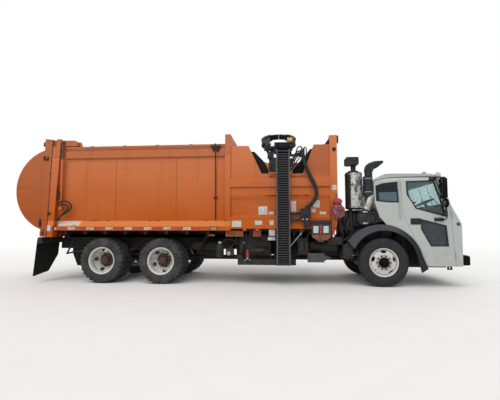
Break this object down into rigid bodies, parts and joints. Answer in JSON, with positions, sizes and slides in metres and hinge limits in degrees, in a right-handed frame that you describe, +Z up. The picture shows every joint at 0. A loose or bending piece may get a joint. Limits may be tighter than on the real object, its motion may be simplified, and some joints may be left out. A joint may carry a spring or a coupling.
{
  "type": "side-loading garbage truck",
  "caption": "Low-entry refuse truck with an open hopper, a side arm with a ladder mast and gripper, and a bulged top-hinged tailgate.",
  "frame": {"origin": "on the ground, under the middle of the whole truck's box", "axes": "+X towards the nose, +Y towards the road side, +Z up"},
  "size_m": [10.2549, 2.8998, 3.5441],
  "materials": {
    "orange_paint": "satin, weathered",
    "white_paint": "satin",
    "dark_steel": "dull",
    "track_steel": "worn",
    "engine_grey": "rough",
    "tyre_rubber": "worn",
    "flap_rubber": "dull",
    "fender_plastic": "dull",
    "white_wheel": "chipped",
    "window_glass": "clear",
    "chrome": "stained",
    "cab_trim": "woven",
    "box_grey": "satin",
    "lamp_red": "clear",
    "lamp_amber": "clear",
    "red_cloth": "woven",
    "hose_cover": "woven"
  },
  "bodies": {
    "truck": {"chassis_frame": "dark_steel", "body_floor": "dark_steel", "body_side_right": "orange_paint", "body_side_left": "orange_paint", "body_roof": "orange_paint", "hopper_side_right": "orange_paint", "hopper_side_left": "orange_paint", "hopper_front": "orange_paint", "notch_guards": "flap_rubber", "cab_glass": "window_glass", "cab_interior": "cab_trim", "fenders": "fender_plastic", "bumper": "dark_steel", "front_axle": "dark_steel", "rear_axles": "dark_steel", "engine_block": "engine_grey", "exhaust_stack": "chrome", "air_intake": "dark_steel", "arm_base": "dark_steel", "side_tanks": "dark_steel", "valve_boxes": "box_grey", "mud_flaps": "flap_rubber", "body_lamps": "lamp_amber", "strapped_bag": "red_cloth", "cab_back": "white_paint", "cab_roof": "white_paint", "cab_front": "white_paint", "cab_floor": "white_paint"},
    "gate": {"tailgate": "orange_paint", "gate_lamps": "lamp_red"},
    "barrels": {"lift_barrels": "dark_steel"},
    "rods": {"lift_rods": "track_steel"},
    "packer": {"packer_blade": "orange_paint"},
    "reach": {"reach_beam": "dark_steel"},
    "mast": {"lift_mast": "track_steel", "hose_bundle": "hose_cover"},
    "head": {"roll_head": "dark_steel"},
    "gripper": {"carriage": "dark_steel"},
    "finger_r": {"finger_rear": "dark_steel"},
    "finger_f": {"finger_front": "dark_steel"},
    "door_right": {"door_right": "white_paint", "door_glass_right": "window_glass"},
    "knuckle_right": {"knuckle_right": "dark_steel"},
    "steer_right": {"steer_tyre_right": "tyre_rubber", "steer_wheel_right": "white_wheel"},
    "rear_right": {"rear_tyres_right": "tyre_rubber", "rear_wheels_right": "white_wheel"},
    "mid_right": {"mid_tyres_right": "tyre_rubber", "mid_wheels_right": "white_wheel"},
    "door_left": {"door_left": "white_paint", "door_glass_left": "window_glass"},
    "knuckle_left": {"knuckle_left": "dark_steel"},
    "steer_left": {"steer_tyre_left": "tyre_rubber", "steer_wheel_left": "white_wheel"},
    "rear_left": {"rear_tyres_left": "tyre_rubber", "rear_wheels_left": "white_wheel"},
    "mid_left": {"mid_tyres_left": "tyre_rubber", "mid_wheels_left": "white_wheel"}
  },
  "joints": [
    {"name": "steer_right", "type": "hinge", "parent": "truck", "child": "knuckle_right", "pos_m": [3.395, -0.85, 0.522], "axis": [0, 0, 1], "range_deg": [-35, 35]},
    {"name": "spin_steer_right", "type": "hinge", "parent": "knuckle_right", "child": "steer_right", "pos_m": [3.395, -1.03, 0.522], "axis": [0, 1, 0], "continuous": true},
    {"name": "spin_rear_right", "type": "hinge", "parent": "truck", "child": "rear_right", "pos_m": [-2.928, -0.905, 0.515], "axis": [0, 1, 0], "continuous": true},
    {"name": "spin_mid_right", "type": "hinge", "parent": "truck", "child": "mid_right", "pos_m": [-1.531, -0.905, 0.515], "axis": [0, 1, 0], "continuous": true},
    {"name": "steer_left", "type": "hinge", "parent": "truck", "child": "knuckle_left", "pos_m": [3.395, 0.85, 0.522], "axis": [0, 0, 1], "range_deg": [-35, 35]},
    {"name": "spin_steer_left", "type": "hinge", "parent": "knuckle_left", "child": "steer_left", "pos_m": [3.395, 1.03, 0.522], "axis": [0, 1, 0], "continuous": true},
    {"name": "spin_rear_left", "type": "hinge", "parent": "truck", "child": "rear_left", "pos_m": [-2.928, 0.905, 0.515], "axis": [0, 1, 0], "continuous": true},
    {"name": "spin_mid_left", "type": "hinge", "parent": "truck", "child": "mid_left", "pos_m": [-1.531, 0.905, 0.515], "axis": [0, 1, 0], "continuous": true},
    {"name": "door_right", "type": "hinge", "parent": "truck", "child": "door_right", "pos_m": [4.867, -1.204, 0.447], "axis": [-0.0615, 0, 0.9981], "range_deg": [0, 70]},
    {"name": "door_left", "type": "hinge", "parent": "truck", "child": "door_left", "pos_m": [4.867, 1.204, 0.447], "axis": [0.0615, 0, -0.9981], "range_deg": [0, 70]},
    {"name": "tailgate", "type": "hinge", "parent": "truck", "child": "gate", "pos_m": [-3.68, 0, 3.262], "axis": [0, 1, 0], "range_deg": [0, 85]},
    {"name": "barrel_tilt", "type": "hinge", "parent": "truck", "child": "barrels", "pos_m": [-3.965, 0, 1.72], "axis": [0, 1, 0], "range_deg": [0, 9]},
    {"name": "rod_stroke", "type": "slide", "parent": "barrels", "child": "rods", "axis": [0, 0, 1], "range_m": [0, 0.285]},
    {"name": "packer", "type": "slide", "parent": "truck", "child": "packer", "axis": [-1, 0, 0], "range_m": [0, 5.75]},
    {"name": "reach_in", "type": "slide", "parent": "truck", "child": "reach", "axis": [0, -1, 0], "range_m": [0, 0.7]},
    {"name": "reach_out", "type": "slide", "parent": "reach", "child": "mast", "axis": [0, -1, 0], "range_m": [0, 0.7]},
    {"name": "head_roll", "type": "hinge", "parent": "mast", "child": "head", "pos_m": [1.245, -1.3, 2.96], "axis": [1, 0, 0], "range_deg": [0, 147]},
    {"name": "carriage_run", "type": "slide", "parent": "head", "child": "gripper", "axis": [0, -0.5446, 0.8387], "range_m": [0, 2]},
    {"name": "finger_rear", "type": "hinge", "parent": "gripper", "child": "finger_r", "pos_m": [0.885, -1.11549, 3.07982], "axis": [0, -0.5446, 0.8387], "range_deg": [0, 60]},
    {"name": "finger_front", "type": "hinge", "parent": "gripper", "child": "finger_f", "pos_m": [1.405, -1.11549, 3.07982], "axis": [0, -0.5446, 0.8387], "range_deg": [-60, 0]}
  ],
  "couplings": [
    {"joint": "steer_left", "follows": "steer_right", "ratio": 1},
    {"joint": "barrel_tilt", "follows": "tailgate", "ratio": 0.1053},
    {"joint": "rod_stroke", "follows": "tailgate", "m_per_rad": 0.1891},
    {"joint": "reach_out", "follows": "reach_in", "ratio": 1},
    {"joint": "carriage_run", "follows": "head_roll", "m_per_rad": 0.779},
    {"joint": "finger_front", "follows": "finger_rear", "ratio": -1}
  ]
}
